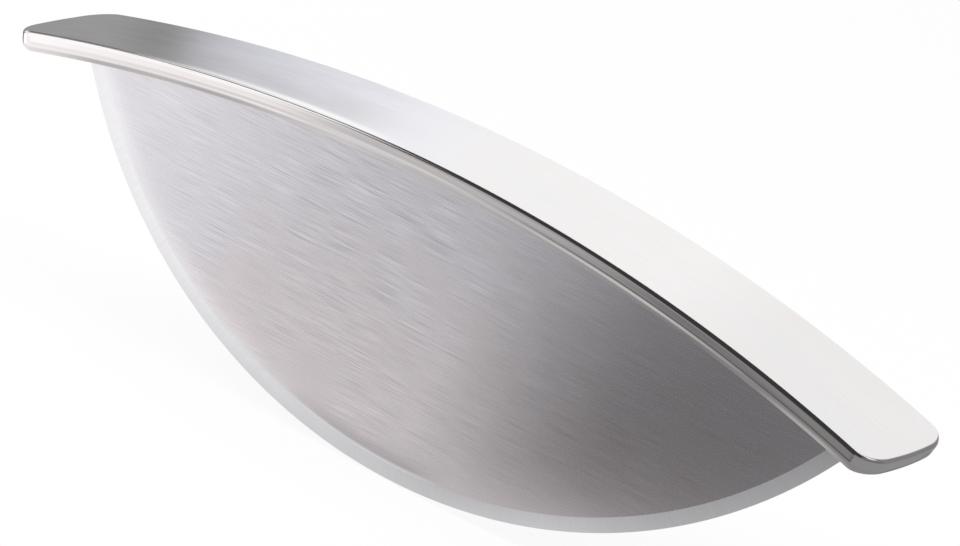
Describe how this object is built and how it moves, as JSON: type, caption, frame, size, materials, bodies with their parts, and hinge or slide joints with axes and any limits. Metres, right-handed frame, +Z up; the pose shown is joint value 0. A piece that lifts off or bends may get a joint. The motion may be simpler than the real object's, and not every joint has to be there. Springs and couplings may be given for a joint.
{
  "type": "mezzaluna",
  "caption": "Half-moon chopping knife: a round-edged steel blade bevelled on both sides, set on edge under a wide, low-arched steel bar that is pressed and rocked with the palms.",
  "frame": {"origin": "lowest point of the round cutting edge, midway between the tips and midway through the blade's thickness", "axes": "+X along the handle, +Y square to the blade, +Z up from the edge to the crown of the handle"},
  "size_m": [0.226, 0.0376, 0.076],
  "materials": {
    "polished_steel": "stainless steel, polished, with a faint lengthwise grain",
    "brushed_steel": "stainless steel, brushed lengthwise, with a finer ground band along the edge",
    "weld_metal": "dressed weld, satin"
  },
  "bodies": {
    "root": {"handle_bar": "polished_steel", "blade": "brushed_steel", "front_weld_seam": "weld_metal", "rear_weld_seam": "weld_metal"}
  },
  "joints": []
}
